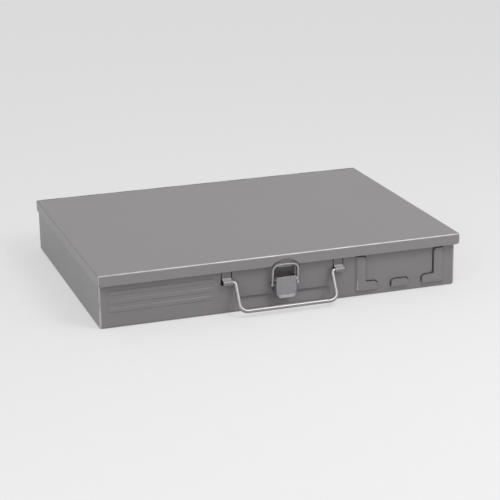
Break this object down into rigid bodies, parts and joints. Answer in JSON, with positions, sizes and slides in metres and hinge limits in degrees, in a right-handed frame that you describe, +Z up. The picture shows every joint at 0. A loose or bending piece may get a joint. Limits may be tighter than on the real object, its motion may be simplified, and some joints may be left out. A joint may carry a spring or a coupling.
{
  "type": "compartment storage box",
  "caption": "Flat steel case with hinged lid, draw latch, folding wire handle, card holder and a grid of removable dividers forming small-parts compartments.",
  "frame": {"origin": "centre of the body's underside, on the table", "axes": "+X along the width, to the right as seen from the front; +Y from the latch side to the hinge side; +Z up"},
  "size_m": [0.44, 0.3482, 0.066],
  "materials": {
    "body_paint": "satin powder coat, warm mid grey",
    "lid_paint": "satin powder coat, warm mid grey",
    "grid_paint": "satin powder coat, mid grey",
    "handle_plating": "bright zinc plating",
    "latch_plating": "dull zinc plating",
    "rivet_steel": "dull steel",
    "pin_steel": "plain drawn steel"
  },
  "bodies": {
    "box": {"body_shell": "body_paint", "hinge_pin": "pin_steel", "latch_base": "latch_plating", "latch_base_rivets": "rivet_steel", "latch_lever_pin": "rivet_steel", "rear_strip": "grid_paint", "partition_1": "grid_paint", "partition_2": "grid_paint", "partition_3": "grid_paint", "partition_4": "grid_paint", "divider_row1_1": "grid_paint", "divider_row1_2": "grid_paint", "divider_row1_3": "grid_paint", "divider_row1_4": "grid_paint", "divider_row1_5": "grid_paint", "divider_row2_1": "grid_paint", "divider_row2_2": "grid_paint", "divider_row2_3": "grid_paint", "divider_row2_4": "grid_paint", "divider_row2_5": "grid_paint", "divider_row3_1": "grid_paint", "divider_row3_2": "grid_paint", "divider_row3_3": "grid_paint", "divider_row3_4": "grid_paint", "divider_row3_5": "grid_paint", "divider_row4_1": "grid_paint", "divider_row4_2": "grid_paint", "divider_row4_3": "grid_paint", "divider_row4_4": "grid_paint", "divider_row4_5": "grid_paint"},
    "lid": {"lid_shell": "lid_paint", "lid_keeper": "latch_plating"},
    "handle": {"handle": "handle_plating"},
    "latch_lever": {"latch_lever": "latch_plating", "latch_loop_rivets": "rivet_steel"},
    "latch_loop": {"latch_loop": "latch_plating"}
  },
  "joints": [
    {"name": "lid_hinge", "type": "hinge", "parent": "box", "child": "lid", "pos_m": [0, 0.15916, 0.06332], "axis": [-1, 0, 0], "range_deg": [0, 180]},
    {"name": "handle_pivot", "type": "hinge", "parent": "box", "child": "handle", "pos_m": [0, -0.16584, 0.038], "axis": [-1, 0, 0], "range_deg": [-31, 118]},
    {"name": "latch_lever_pivot", "type": "hinge", "parent": "box", "child": "latch_lever", "pos_m": [0, -0.16984, 0.0355], "axis": [-1, 0, 0], "range_deg": [0, 95]},
    {"name": "latch_loop_pivot", "type": "hinge", "parent": "latch_lever", "child": "latch_loop", "pos_m": [0, -0.16684, 0.0295], "axis": [1, 0, 0], "range_deg": [0, 114]}
  ],
  "couplings": [
    {"joint": "latch_loop_pivot", "follows": "latch_lever_pivot", "ratio": 1.2}
  ]
}
